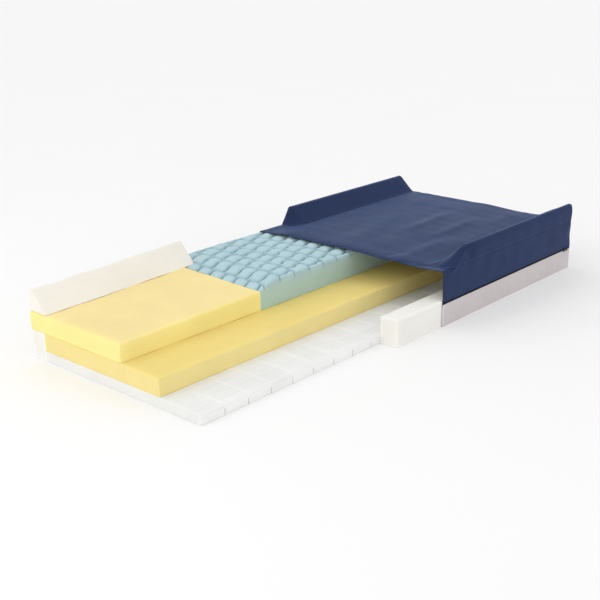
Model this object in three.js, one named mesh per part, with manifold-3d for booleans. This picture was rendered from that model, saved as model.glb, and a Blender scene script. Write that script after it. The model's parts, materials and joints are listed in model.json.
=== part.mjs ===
// Pressure relief mattress, built as a cut-away sample: the covers are cut off
// the foot half and the foam layers step back along the near side.
// Millimetres. +X points to the head end, +Y to the far side, +Z up.
// The origin is on the floor under the middle of the mattress.

import * as THREE from 'three';
import { mergeVertices } from 'three/addons/utils/BufferGeometryUtils.js';
import Module from 'manifold-3d';

// ---------------------------------------------------------------- sizes

// Overall size, over the covers.
const LENGTH = 2000;
const WIDTH = 880;

// Clearance between pieces that touch.
const GAP = 0.3;

// Foam layers, from the floor up.
const BASE_T = 36;
const MID_T = 61;
const TORSO_T = 98;
const HEEL_T_AT_FOOT = 63;
const HEEL_T_AT_TORSO = 75;
const HEEL_LENGTH = 605;
const TORSO_RAMP_LENGTH = 110;

// Side walls.
const WALL_T = 71;
const NEAR_WALL_LENGTH = 1178;

// Cut-away steps on the near side, measured from the near edge, and where they end.
const MID_SETBACK = 247;
const TOP_SETBACK = 419;
const STEP_END_FROM_HEAD = 550;

// Slits across the underside of the base layer.
const SLIT_W = 2.5;
const SLIT_DEPTH = 20;
const SLIT_PITCH = 97;
const SLIT_FIRST = 94;

// The backrest folds at the slit nearest to this length from the head end.
const BACKREST_LENGTH = 840;

// Covers.
const SKIN = 2;
const COVER_LENGTH = 920;
const CORNER_R = 12;
const CORNER_STEPS = 8;

// Zip between the covers.
const ZIP_Z = 83;
const TAPE_T = 0.8;
const TAPE_H = 14;
const COIL_H = 4.4;
const COIL_T = 1.4;
const SLOT_CLEARANCE = 0.4;

// Bolsters along the long edges: right triangles with a rounded ridge.
const BOLSTER_W = 88;
const BOLSTER_RIDGE_R = 12;
const BOLSTER_RIDGE_STEPS = 6;
const HEAD_BOLSTER_H = 66;
const HEAD_BOLSTER_SETBACK = 52;
const HEAD_BOLSTER_LEAN = 34;
const FOOT_BOLSTER_H = 73;
const FOOT_BOLSTER_LENGTH = 650;

// Zip slider, its hinge pin and its pull.
const SLIDER_L = 16;
const SLIDER_H = 9;
const SLIDER_T = 2;
const SLIDER_FROM_CORNER = 28;
const STOP_L = 4;
const STOP_T = 1.3;
const PIN_R = 0.9;
const PIN_CLEARANCE = 0.25;
const EYE_WALL = 1.1;
const LUG_T = 1.5;
const PULL_L = 30;
const PULL_T = 1.6;
const PULL_H = 5;
const GRIP_L = 18;
const GRIP_H = 9;

// ---------------------------------------------------------------- places

const FOOT_X = -LENGTH / 2;
const HEAD_X = LENGTH / 2;
const HALF_W = WIDTH / 2;

const MID_Z = BASE_T;
const TOP_Z = MID_Z + MID_T;
const CROWN_Z = TOP_Z + TORSO_T;
const SKIN_TOP_Z = CROWN_Z + GAP + SKIN;

// The zip tape lies between the skin and the foam, clear of both.
const SIDE_FIT = TAPE_T + 2 * GAP;
const CORE_INSET = SKIN + SIDE_FIT;
const CORE_HALF = HALF_W - CORE_INSET;
const CORE_HEAD_X = HEAD_X - CORE_INSET;
const WALL_IN = CORE_HALF - WALL_T;
const LAYER_HALF = WALL_IN - GAP;

const CUT_X = HEAD_X - COVER_LENGTH;
const HEEL_END_X = FOOT_X + HEEL_LENGTH;
const STEP_END_X = HEAD_X - STEP_END_FROM_HEAD;
const NEAR_WALL_X = HEAD_X - NEAR_WALL_LENGTH;
const MID_STEP_Y = -HALF_W + MID_SETBACK;
const TOP_STEP_Y = -HALF_W + TOP_SETBACK;
const FOLD_SLIT = Math.round((LENGTH - BACKREST_LENGTH - SLIT_FIRST) / SLIT_PITCH);
const FOLD_X = FOOT_X + SLIT_FIRST + FOLD_SLIT * SLIT_PITCH;
const HEAD_BOLSTER_X = FOLD_X + HEAD_BOLSTER_SETBACK;

// The coil lies on the front of the tape, in the slot between the covers.
const TAPE_INSET = SKIN + GAP;
const COIL_INSET = TAPE_INSET - GAP - COIL_T;
const SLOT_HALF = COIL_H / 2 + SLOT_CLEARANCE;
const SLIDER_X = HEAD_X - CORNER_R - SLIDER_FROM_CORNER;

// Larger than the object, for cutting tools.
const FAR = 2 * LENGTH;

// ---------------------------------------------------------------- tools

const wasm = await Module();
wasm.setup();

function toSolid(geometry) {
  const bare = new THREE.BufferGeometry();
  bare.setAttribute('position', geometry.getAttribute('position').clone());
  if (geometry.index) {
    bare.setIndex(geometry.index.clone());
  }
  const merged = mergeVertices(bare, 1e-4);
  return new wasm.Manifold(new wasm.Mesh({
    numProp: 3,
    vertProperties: new Float32Array(merged.getAttribute('position').array),
    triVerts: new Uint32Array(merged.index.array),
  }));
}

function toGeometry(solid) {
  const mesh = solid.getMesh();
  const geometry = new THREE.BufferGeometry();
  geometry.setAttribute('position', new THREE.BufferAttribute(mesh.vertProperties, 3));
  geometry.setIndex(new THREE.BufferAttribute(mesh.triVerts, 1));
  geometry.computeVertexNormals();
  return geometry;
}

function block(x0, x1, y0, y1, z0, z1) {
  const box = new THREE.BoxGeometry(x1 - x0, y1 - y0, z1 - z0);
  box.translate((x0 + x1) / 2, (y0 + y1) / 2, (z0 + z1) / 2);
  return toSolid(box);
}

function extrude(shape, depth, steps, basis) {
  const geometry = new THREE.ExtrudeGeometry(shape, {
    depth,
    bevelEnabled: false,
    curveSegments: steps,
  });
  geometry.applyMatrix4(basis);
  return toSolid(geometry);
}

// A plan outline in X and Y, raised from z0 to z1.
function extrudeUp(shape, z0, z1, steps = CORNER_STEPS) {
  const basis = new THREE.Matrix4().makeTranslation(0, 0, z0);
  return extrude(shape, z1 - z0, steps, basis);
}

// A section drawn in Y and Z, run along X from x0 to x1.
function extrudeAlongX(shape, x0, x1, steps = BOLSTER_RIDGE_STEPS) {
  const basis = new THREE.Matrix4().makeBasis(
    new THREE.Vector3(0, 1, 0),
    new THREE.Vector3(0, 0, 1),
    new THREE.Vector3(1, 0, 0),
  );
  basis.setPosition(x0, 0, 0);
  return extrude(shape, x1 - x0, steps, basis);
}

// A side view drawn in X and Z, run along Y from y0 to y1.
function extrudeAlongY(points, y0, y1) {
  const shape = new THREE.Shape(points.map(([x, z]) => new THREE.Vector2(x, z)));
  const basis = new THREE.Matrix4().makeBasis(
    new THREE.Vector3(1, 0, 0),
    new THREE.Vector3(0, 0, 1),
    new THREE.Vector3(0, -1, 0),
  );
  basis.setPosition(0, y1, 0);
  return extrude(shape, y1 - y0, 1, basis);
}

function between(solid, x0, x1) {
  return solid.intersect(block(x0, x1, -FAR, FAR, -FAR, FAR));
}

const seatPart = (solid) => between(solid, -FAR, FOLD_X - GAP / 2);
const backPart = (solid) => between(solid, FOLD_X + GAP / 2, FAR);

// The covers' plan outline moved in by inset, with round corners at the head end.
// It runs past the foot end by overrun, where the outline stays square.
function footprint(inset, footX) {
  const half = HALF_W - inset;
  const headX = HEAD_X - inset;
  const r = Math.max(CORNER_R - inset, GAP);
  const shape = new THREE.Shape();
  shape.moveTo(footX, -half);
  shape.lineTo(headX - r, -half);
  shape.absarc(headX - r, -half + r, r, -Math.PI / 2, 0, false);
  shape.lineTo(headX, half - r);
  shape.absarc(headX - r, half - r, r, 0, Math.PI / 2, false);
  shape.lineTo(footX, half);
  shape.closePath();
  return shape;
}

const corePlan = extrudeUp(footprint(CORE_INSET, FOOT_X), -FAR, FAR);

// Foam that lies on the floor at the foot half and on the bottom cover past the cut.
const skinRecess = block(CUT_X - GAP, FAR, -FAR, FAR, -FAR, SKIN + GAP);

const group = new THREE.Group();

function add(name, solid, material) {
  const mesh = new THREE.Mesh(toGeometry(solid), material);
  mesh.name = name;
  group.add(mesh);
}

function finish(color, roughness, metalness = 0) {
  return new THREE.MeshStandardMaterial({ color, roughness, metalness });
}

const baseFoam = finish(0xecedeb, 0.9);
const midFoam = finish(0xead78d, 0.9);
const heelFoam = finish(0xf3df9d, 0.9);
const torsoFoam = finish(0xadcbcf, 0.9);
const wallFoam = finish(0xfaf9f3, 0.9);
const bolsterFoam = finish(0xf6f0e5, 0.9);
const navyCover = finish(0x4c597c, 0.45);
const greyCover = finish(0xc1bbbf, 0.7);
const zipCloth = finish(0x1c1f26, 0.8);
const zipMetal = finish(0x2a2c30, 0.4, 0.6);

// ---------------------------------------------------------------- foam core

// Base layer: one slab between the side walls, slit across its underside.
function buildBase() {
  let slab = block(FOOT_X, CORE_HEAD_X, -LAYER_HALF, LAYER_HALF, 0, BASE_T);
  slab = slab.subtract(skinRecess);
  for (let x = FOOT_X + SLIT_FIRST; x < CORE_HEAD_X - SLIT_W; x += SLIT_PITCH) {
    slab = slab.subtract(
      block(x - SLIT_W / 2, x + SLIT_W / 2, -FAR, FAR, -FAR, SLIT_DEPTH),
    );
  }
  return slab;
}

const base = buildBase();
add('base_foam_seat', seatPart(base), baseFoam);
add('base_foam_back', backPart(base), baseFoam);

// A layer whose near side steps back to stepY until the step ends.
function steppedLayer(y0, y1, stepY, z0, z1) {
  const full = block(STEP_END_X, CORE_HEAD_X, y0, y1, z0, z1);
  const stepped = block(FOOT_X, CORE_HEAD_X, stepY, y1, z0, z1);
  return full.add(stepped);
}

const mid = steppedLayer(-LAYER_HALF, LAYER_HALF, MID_STEP_Y, MID_Z + GAP, TOP_Z);
add('mid_foam_seat', seatPart(mid), midFoam);
add('mid_foam_back', backPart(mid), midFoam);

// Heel layer: a shallow wedge that rises towards the torso layer.
const heelFootZ = TOP_Z + HEEL_T_AT_FOOT;
const heelTorsoZ = TOP_Z + HEEL_T_AT_TORSO;
const heelEdgeX = HEEL_END_X - GAP / 2;
add('heel_foam', extrudeAlongY([
  [FOOT_X, TOP_Z + GAP],
  [heelEdgeX, TOP_Z + GAP],
  [heelEdgeX, heelTorsoZ],
  [FOOT_X, heelFootZ],
], TOP_STEP_Y, CORE_HALF), heelFoam);

// Torso layer: level with the heel layer where they meet, then up a ramp.
function buildTorso() {
  const startX = HEEL_END_X + GAP / 2;
  const overFloor = steppedLayer(
    -CORE_HALF, CORE_HALF, TOP_STEP_Y, TOP_Z + GAP, CROWN_Z,
  );
  const sideView = extrudeAlongY([
    [startX, TOP_Z],
    [FAR, TOP_Z],
    [FAR, CROWN_Z],
    [HEEL_END_X + TORSO_RAMP_LENGTH, CROWN_Z],
    [startX, heelTorsoZ],
  ], -FAR, FAR);
  return overFloor.intersect(sideView).intersect(corePlan);
}

const torso = buildTorso();
add('torso_foam_seat', seatPart(torso), torsoFoam);
add('torso_foam_back', backPart(torso), torsoFoam);

// Firm walls along both long edges, under the top layer.
function buildWall(x0, side) {
  const inner = side * WALL_IN;
  const outer = side * CORE_HALF;
  const wall = block(
    x0, CORE_HEAD_X, Math.min(inner, outer), Math.max(inner, outer), 0, TOP_Z,
  );
  return wall.subtract(skinRecess).intersect(corePlan);
}

const walls = [
  ['far_side_wall', buildWall(FOOT_X, 1)],
  ['near_side_wall', buildWall(NEAR_WALL_X, -1)],
];
for (const [name, wall] of walls) {
  add(`${name}_seat`, seatPart(wall), wallFoam);
  add(`${name}_back`, backPart(wall), wallFoam);
}

// ---------------------------------------------------------------- bolsters

// Section of a far-side bolster whose base is at z = 0, grown by offset all round.
// The slope is the tangent from the inner foot of the base to the ridge circle.
function bolsterSection(height, offset, depth) {
  const centreY = CORE_HALF - BOLSTER_RIDGE_R;
  const centreZ = height - BOLSTER_RIDGE_R;
  const run = BOLSTER_W - BOLSTER_RIDGE_R;
  const angle = Math.atan2(centreZ, run)
    + Math.asin(BOLSTER_RIDGE_R / Math.hypot(run, centreZ));
  const r = BOLSTER_RIDGE_R + offset;
  const drop = (depth + centreZ + r * Math.cos(angle)) / Math.sin(angle);
  const shape = new THREE.Shape();
  shape.moveTo(
    centreY - r * Math.sin(angle) - drop * Math.cos(angle),
    centreZ + r * Math.cos(angle) - drop * Math.sin(angle),
  );
  shape.lineTo(centreY + r, -depth);
  shape.lineTo(centreY + r, centreZ);
  shape.absarc(centreY, centreZ, r, 0, Math.PI / 2 + angle, false);
  shape.closePath();
  return shape;
}

// A head bolster grown by offset, with its base depth below the top of the torso layer.
// Its foot end leans back towards the head end.
function headBolster(offset, depth) {
  const baseZ = CROWN_Z + GAP;
  const lean = HEAD_BOLSTER_LEAN / HEAD_BOLSTER_H;
  const shift = offset * Math.hypot(1, lean);
  const run = extrudeAlongX(
    bolsterSection(HEAD_BOLSTER_H, offset, depth), HEAD_BOLSTER_X - FAR, HEAD_X,
  ).translate([0, 0, baseZ]);
  const ends = extrudeAlongY([
    [HEAD_BOLSTER_X - shift - lean * depth, baseZ - depth],
    [FAR, baseZ - depth],
    [FAR, baseZ + FAR],
    [HEAD_BOLSTER_X - shift + lean * FAR, baseZ + FAR],
  ], -FAR, FAR);
  return run.intersect(ends);
}

const mirrorY = (solid) => solid.scale([1, -1, 1]);

const farBolster = headBolster(0, 0).intersect(corePlan);
add('head_bolster_far', farBolster, bolsterFoam);
add('head_bolster_near', mirrorY(farBolster), bolsterFoam);

// The foot bolster follows the heel layer's slope and clears the torso layer's ramp.
function buildFootBolster() {
  const slope = (HEEL_T_AT_TORSO - HEEL_T_AT_FOOT) / HEEL_LENGTH;
  const shape = bolsterSection(FOOT_BOLSTER_H, 0, 0);
  const shear = new THREE.Matrix4().set(
    1, 0, 0, 0,
    0, 1, 0, 0,
    slope, 0, 1, heelFootZ + GAP - slope * FOOT_X,
    0, 0, 0, 1,
  );
  const run = extrudeAlongX(shape, FOOT_X, FOOT_X + FOOT_BOLSTER_LENGTH);
  const geometry = toGeometry(run);
  geometry.applyMatrix4(shear);
  return toSolid(geometry)
    .subtract(torso.translate([0, 0, GAP]))
    .subtract(torso.translate([-GAP, 0, 0]));
}

add('foot_bolster', buildFootBolster(), bolsterFoam);

// ---------------------------------------------------------------- covers

// Everything inside the top cover: the flat part and both bolster pockets.
function coverForm(inset, offset, baseZ, topZ) {
  const plan = extrudeUp(footprint(inset, CUT_X - FAR), -FAR, FAR);
  const pocket = headBolster(offset, SKIN);
  return block(CUT_X - FAR, FAR, -FAR, FAR, baseZ, topZ)
    .add(pocket)
    .add(mirrorY(pocket))
    .intersect(plan);
}

function buildTopCover() {
  const edgeZ = ZIP_Z + SLOT_HALF;
  const outer = coverForm(0, CORE_INSET, edgeZ, SKIN_TOP_Z);
  const inner = coverForm(SKIN, SIDE_FIT, -FAR, SKIN_TOP_Z - SKIN);
  return between(outer.subtract(inner), CUT_X, FAR);
}

const topCover = buildTopCover();
add('top_cover_seat', seatPart(topCover), navyCover);
add('top_cover_back', backPart(topCover), navyCover);

// A ring that follows the covers' outline, between two insets and two heights.
function ring(outerInset, thickness, z0, z1) {
  const outer = extrudeUp(footprint(outerInset, CUT_X), z0, z1);
  const inner = extrudeUp(footprint(outerInset + thickness, CUT_X - FAR), -FAR, FAR);
  return outer.subtract(inner);
}

const traySide = ring(0, SKIN, 0, ZIP_Z - SLOT_HALF);
const trayFloor = extrudeUp(footprint(0, CUT_X), 0, SKIN);
const bottomCover = traySide.add(trayFloor);
add('bottom_cover_seat', seatPart(bottomCover), greyCover);
add('bottom_cover_back', backPart(bottomCover), greyCover);

// ---------------------------------------------------------------- zip

// Two tapes behind the covers' edges, and the coil that closes the slot between them.
const strips = [
  ['zip_tape_upper', ring(TAPE_INSET, TAPE_T, ZIP_Z + GAP / 2, ZIP_Z + TAPE_H)],
  ['zip_tape_lower', ring(TAPE_INSET, TAPE_T, ZIP_Z - TAPE_H, ZIP_Z - GAP / 2)],
  ['zip_coil', ring(COIL_INSET, COIL_T, ZIP_Z - COIL_H / 2, ZIP_Z + COIL_H / 2)],
];
const nearHalf = block(-FAR, FAR, -FAR, 0, -FAR, FAR);
const farHalf = block(-FAR, FAR, 0, FAR, -FAR, FAR);
for (const [name, strip] of strips) {
  const seat = seatPart(strip);
  add(`${name}_seat_near`, seat.intersect(nearHalf), zipCloth);
  add(`${name}_seat_far`, seat.intersect(farHalf), zipCloth);
  add(`${name}_back`, backPart(strip), zipCloth);
}

// The slider's plate runs just clear of the covers; its nose rides over the coil.
const slotFaceY = -HALF_W + COIL_INSET - GAP;
const plateBackY = -HALF_W - SLOT_CLEARANCE;
const plateFrontY = plateBackY - SLIDER_T;
const eyeR = PIN_R + PIN_CLEARANCE + EYE_WALL;
const pinY = plateFrontY - GAP - eyeR;
const lugZ = PULL_H / 2 + GAP;

function buildSlider() {
  const x0 = SLIDER_X - SLIDER_L / 2;
  const x1 = SLIDER_X + SLIDER_L / 2;
  const plate = block(x0, x1, plateFrontY, plateBackY, ZIP_Z - SLIDER_H / 2, ZIP_Z + SLIDER_H / 2);
  const nose = block(x0, x1, plateBackY - GAP, slotFaceY, ZIP_Z - COIL_H / 2, ZIP_Z + COIL_H / 2);
  const pin = new THREE.CylinderGeometry(PIN_R, PIN_R, 2 * lugZ + LUG_T, 24);
  pin.rotateX(Math.PI / 2);
  pin.translate(SLIDER_X, pinY, ZIP_Z);
  let slider = plate.add(nose).add(toSolid(pin));
  for (const side of [-1, 1]) {
    const z0 = ZIP_Z + side * lugZ;
    const z1 = ZIP_Z + side * (lugZ + LUG_T);
    slider = slider.add(block(
      SLIDER_X - eyeR, SLIDER_X + eyeR, pinY - eyeR, plateFrontY + GAP,
      Math.min(z0, z1), Math.max(z0, z1),
    ));
  }
  return slider;
}

add('zip_slider', buildSlider(), zipMetal);

// The pull: an eye on the pin, a flat shank and a taller grip, lying along the zip.
function buildPull() {
  const eye = new THREE.Shape();
  eye.absarc(0, 0, eyeR, 0, 2 * Math.PI, false);
  const bore = new THREE.Shape();
  bore.absarc(0, 0, PIN_R + PIN_CLEARANCE, 0, 2 * Math.PI, false);
  const shank = block(-PULL_L, 0, -PULL_T / 2, PULL_T / 2, -PULL_H / 2, PULL_H / 2);
  const grip = block(-PULL_L, GRIP_L - PULL_L, -PULL_T / 2, PULL_T / 2, -GRIP_H / 2, GRIP_H / 2);
  return extrudeUp(eye, -PULL_H / 2, PULL_H / 2, 12)
    .add(shank)
    .add(grip)
    .subtract(extrudeUp(bore, -FAR, FAR, 12))
    .translate([SLIDER_X, pinY, ZIP_Z]);
}

add('zip_pull', buildPull(), zipMetal);

// The end stop on the coil, just past the slider's closed position.
const stopX = SLIDER_X + SLIDER_L / 2 + GAP;
add('zip_stop', block(
  stopX, stopX + STOP_L, slotFaceY - STOP_T, slotFaceY, ZIP_Z - COIL_H / 2, ZIP_Z + COIL_H / 2,
), zipMetal);

export default group;
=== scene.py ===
"""Pressure relief mattress, shown as a cut-away sample.

Metres. +X points to the head end, +Y to the far side and +Z up, as in the CAD
frame. Places come from the CAD boxes; the other sizes are named below.
"""
import json
import math

import bmesh
import bpy
import numpy as np
from mathutils import Matrix, Vector


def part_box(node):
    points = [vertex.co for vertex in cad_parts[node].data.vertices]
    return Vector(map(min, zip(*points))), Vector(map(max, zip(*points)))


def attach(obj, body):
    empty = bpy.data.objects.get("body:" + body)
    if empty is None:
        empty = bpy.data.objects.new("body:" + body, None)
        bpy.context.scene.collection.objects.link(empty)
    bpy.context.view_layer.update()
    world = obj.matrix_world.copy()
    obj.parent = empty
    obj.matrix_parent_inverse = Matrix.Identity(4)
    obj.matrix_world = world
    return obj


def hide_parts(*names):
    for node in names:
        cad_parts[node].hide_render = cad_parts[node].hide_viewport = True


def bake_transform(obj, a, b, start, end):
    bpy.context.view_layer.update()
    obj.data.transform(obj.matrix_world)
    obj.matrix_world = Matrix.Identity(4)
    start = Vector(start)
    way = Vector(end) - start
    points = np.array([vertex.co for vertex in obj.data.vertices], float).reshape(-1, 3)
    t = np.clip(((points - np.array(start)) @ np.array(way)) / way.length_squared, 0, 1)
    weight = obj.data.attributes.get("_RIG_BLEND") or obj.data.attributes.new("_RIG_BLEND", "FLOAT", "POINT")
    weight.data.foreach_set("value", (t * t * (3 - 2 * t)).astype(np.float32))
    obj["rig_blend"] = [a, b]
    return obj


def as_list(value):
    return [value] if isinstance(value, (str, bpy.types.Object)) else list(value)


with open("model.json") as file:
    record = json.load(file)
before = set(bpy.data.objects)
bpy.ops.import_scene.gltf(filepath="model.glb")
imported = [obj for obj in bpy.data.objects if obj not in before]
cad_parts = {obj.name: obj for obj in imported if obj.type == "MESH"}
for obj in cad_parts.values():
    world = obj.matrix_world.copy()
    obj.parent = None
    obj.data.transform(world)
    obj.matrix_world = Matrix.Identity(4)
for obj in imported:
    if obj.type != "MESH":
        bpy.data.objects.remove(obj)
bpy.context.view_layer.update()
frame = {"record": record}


# ------------------------------------------------------------------ places


def low(node):
    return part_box(node)[0]


def high(node):
    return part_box(node)[1]


FOOT_X = low("base_foam_seat").x
CORE_HEAD_X = high("base_foam_back").x
LAYER_Y = high("base_foam_seat").y
CORE_Y = high("heel_foam").y
MID_STEP_Y = low("mid_foam_seat").y
TOP_STEP_Y = low("heel_foam").y
BASE_TOP_Z = high("base_foam_seat").z
MID_LOW_Z = low("mid_foam_seat").z
MID_TOP_Z = high("mid_foam_seat").z
TOP_LOW_Z = low("torso_foam_seat").z
CROWN_Z = high("torso_foam_seat").z
HEEL_END_X = high("heel_foam").x
TORSO_START_X = low("torso_foam_seat").x
COVERED_LOW_Z = low("base_foam_back").z
WALL_IN_Y = low("far_side_wall_seat").y
NEAR_WALL_X = low("near_side_wall_seat").x

CUT_X = low("top_cover_seat").x
HEAD_X = high("top_cover_back").x
COVER_Y = high("top_cover_back").y
PANEL_Z = high("top_cover_seat").z
POCKET_Z = high("top_cover_back").z
ZIP_UPPER_Z = low("top_cover_back").z
ZIP_LOWER_Z = high("bottom_cover_back").z
ZIP_Z = (ZIP_UPPER_Z + ZIP_LOWER_Z) / 2

joints = {joint["name"]: joint for joint in frame["record"]["behaviour"]["joints"]}
FOLD_X = joints["backrest_fold"]["pos_m"][0]
BEND_HALF = 0.08

STEP_END_X = HEAD_X - 0.55
SKIN = 0.002

# ------------------------------------------------------------------ numbers


def wave_noise(seed, count, wavelength, spread=0.6):
    """A smooth random field of x and y: a sum of count sine waves.

    Each wave has a random direction and phase, and a length near wavelength.
    The result stays roughly between -1 and 1.
    """
    rng = np.random.default_rng(seed)
    angle = rng.uniform(0, math.pi, count)
    number = 2 * math.pi / (wavelength * rng.uniform(1 - spread, 1 + spread, count))
    phase = rng.uniform(0, 2 * math.pi, count)
    share = 1 / math.sqrt(count)

    def field(x, y):
        along = np.multiply.outer(x, np.cos(angle)) + np.multiply.outer(y, np.sin(angle))
        return share * np.sin(along * number + phase).sum(-1)

    return field


def smooth(t):
    """0 below 0, 1 above 1, and the cubic 3t^2 - 2t^3 between."""
    t = np.clip(t, 0, 1)
    return t * t * (3 - 2 * t)


def round_drop(distance, radius):
    """How far a quarter-round edge lies below its flat, at a distance in from it."""
    inside = np.clip(1 - distance / radius, 0, 1)
    return radius * (1 - np.sqrt(np.clip(1 - inside**2, 0, 1)))


# Grid lines over a rounded edge, as shares of its radius.
ROUND_STEPS = np.array([0.0, 0.06, 0.2, 0.45, 0.72, 1.0])


def lines(start, end, step, radius=0.0, at=()):
    """Grid lines from start to end, closer near both ends and with extra ones at."""
    count = max(2, round((end - start) / step) + 1)
    edge = ROUND_STEPS * radius
    extra = np.array([value for value in at if start < value < end])
    every = np.concatenate([np.linspace(start, end, count), start + edge, end - edge, extra])
    every = np.unique(np.round(every, 6))
    kept = np.concatenate([[True], np.diff(every) > 1e-5])
    return every[kept]


# ------------------------------------------------------------------ meshes


def link_object(name, data):
    thing = bpy.data.objects.new(name, data)
    bpy.context.scene.collection.objects.link(thing)
    return thing


def shade(mesh, sharp):
    """Smooth shading, broken at edges that turn by more than sharp degrees."""
    mesh.polygons.foreach_set("use_smooth", np.ones(len(mesh.polygons), bool))
    mesh.set_sharp_from_angle(angle=math.radians(sharp))


def make_piece(name, points, faces, material, sharp=40):
    mesh = bpy.data.meshes.new(name)
    mesh.from_pydata(np.asarray(points, float).tolist(), [], [list(f) for f in faces])
    mesh.update()
    mesh.materials.append(material)
    shade(mesh, sharp)
    return link_object(name, mesh)


def piece_from(work, name, material):
    """A piece made from a bmesh, which is freed."""
    mesh = bpy.data.meshes.new(name)
    work.to_mesh(mesh)
    work.free()
    mesh.materials.clear()
    mesh.materials.append(material)
    return link_object(name, mesh)


def read_rows(parts, name, width=3, kind=np.float32):
    """One property of a mesh's vertices, faces or corners, as an array of rows."""
    flat = np.empty(width * len(parts), kind)
    parts.foreach_get(name, flat)
    return flat.reshape(-1, width) if width > 1 else flat


def points_of(piece):
    return read_rows(piece.data.vertices, "co").astype(float)


def move_points(piece, points):
    piece.data.vertices.foreach_set("co", points.astype(np.float32).ravel())
    piece.data.update()


def set_attribute(piece, name, values):
    """Writes one value for each point. A single number goes to all of them."""
    layers = piece.data.attributes
    layer = layers.get(name) or layers.new(name, "FLOAT", "POINT")
    values = np.zeros(len(piece.data.vertices)) + values
    layer.data.foreach_set("value", values.astype(np.float32))


def set_box_uv(piece):
    """A UV map in metres: each face is laid flat along the axis that it faces most."""
    mesh = piece.data
    facing = np.abs(read_rows(mesh.polygons, "normal")).argmax(1)
    totals = read_rows(mesh.polygons, "loop_total", 1, np.int32)
    corner = read_rows(mesh.loops, "vertex_index", 1, np.int32)
    points = points_of(piece)[corner]
    axes = np.array([[1, 2], [0, 2], [0, 1]])[np.repeat(facing, totals)]
    uv = np.take_along_axis(points, axes, 1)
    layer = mesh.uv_layers.new(name="cloth")
    layer.data.foreach_set("uv", uv.astype(np.float32).ravel())


def slab(name, xs, ys, top, bottom, material, keep=None, rows=(0.1, 0.35, 0.65, 0.9), sharp=40):
    """A closed block over a grid of x and y.

    top(x, y) and bottom(x, y) are the heights of its two skins. The cells that
    keep(x, y) holds are filled, and upright walls with extra rows join the two
    skins along the edge of the filled cells.
    """
    x, y = np.meshgrid(xs, ys, indexing="ij")
    upper = np.stack([x, y, top(x, y)], -1).reshape(-1, 3)
    lower = np.stack([x, y, bottom(x, y)], -1).reshape(-1, 3)
    index = np.arange(x.size).reshape(x.shape)
    middle_x = (x[:-1, :-1] + x[1:, 1:]) / 2
    middle_y = (y[:-1, :-1] + y[1:, 1:]) / 2
    filled = np.ones(middle_x.shape, bool) if keep is None else keep(middle_x, middle_y)
    a = index[:-1, :-1]
    b = index[1:, :-1]
    c = index[1:, 1:]
    d = index[:-1, 1:]
    tops = np.stack([a[filled], b[filled], c[filled], d[filled]], 1)
    around = np.pad(filled, 1)
    sides = (
        (a, b, around[1:-1, :-2]),
        (b, c, around[2:, 1:-1]),
        (c, d, around[1:-1, 2:]),
        (d, a, around[:-2, 1:-1]),
    )
    start = np.concatenate([p[filled & ~beyond] for p, q, beyond in sides])
    end = np.concatenate([q[filled & ~beyond] for p, q, beyond in sides])
    rim = np.unique(np.concatenate([start, end]))
    rank = np.full(x.size, -1)
    rank[rim] = np.arange(len(rim))
    size = x.size
    between = [upper[rim] * (1 - share) + lower[rim] * share for share in rows]
    levels = [lambda v: v]
    for level in range(len(rows)):
        levels.append(lambda v, level=level: 2 * size + level * len(rim) + rank[v])
    levels.append(lambda v: v + size)
    walls = [
        np.stack([over(end), over(start), under(start), under(end)], 1)
        for over, under in zip(levels[:-1], levels[1:])
    ]
    faces = np.concatenate([tops, tops[:, ::-1] + size, *walls])
    points = np.concatenate([upper, lower, *between])
    used = np.unique(faces)
    renumber = np.full(len(points), -1)
    renumber[used] = np.arange(len(used))
    return make_piece(name, points[used], renumber[faces], material, sharp)


def tube_faces(index):
    """The side faces of a tube, from the point numbers of its rings."""
    ahead = np.roll(index, -1, axis=1)
    return np.stack([index[:-1], ahead[:-1], ahead[1:], index[1:]], -1).reshape(-1, 4)


def sweep(name, sections, material, sharp=35):
    """A tube through sections, an array (stations, points, 3), with flat end caps."""
    index = np.arange(sections[..., 0].size).reshape(sections.shape[:2])
    faces = [*tube_faces(index).tolist(), index[0][::-1].tolist(), index[-1].tolist()]
    piece = make_piece(name, sections.reshape(-1, 3), faces, material, sharp)
    face_outwards(piece, sharp)
    return piece


def face_outwards(piece, sharp):
    work = bmesh.new()
    work.from_mesh(piece.data)
    bmesh.ops.recalc_face_normals(work, faces=work.faces)
    work.to_mesh(piece.data)
    work.free()
    piece.data.set_sharp_from_angle(angle=math.radians(sharp))


def applied(piece):
    """The piece with its modifiers made part of its mesh."""
    graph = bpy.context.evaluated_depsgraph_get()
    mesh = bpy.data.meshes.new_from_object(piece.evaluated_get(graph))
    old = piece.data
    piece.modifiers.clear()
    piece.data = mesh
    bpy.data.meshes.remove(old)
    mesh.name = piece.name
    return piece


def mark_edges(piece, reach, *limits):
    """Writes edge, near 1 along the block's edges, where the foam material paints a highlight, and side, 1
    on its walls, which get the material's painted wall tone.

    limits are the block's low and high x, y and z, as numbers or functions of x
    and y. The second smallest distance to them is that to the nearest edge.
    """
    points = points_of(piece)
    x, y, _ = points.T
    places = [limit(x, y) if callable(limit) else limit for limit in limits]
    distances = [np.abs(points[:, k // 2] - place) for k, place in enumerate(places)]
    nearest = np.sort(distances, axis=0)[1]
    set_attribute(piece, "edge", np.exp(-nearest / reach))
    upright = np.abs(read_rows(piece.data.vertices, "normal")[:, 2])
    set_attribute(piece, "side", 1 - smooth(upright / 0.8))


# ------------------------------------------------------------------ material tools


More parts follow.
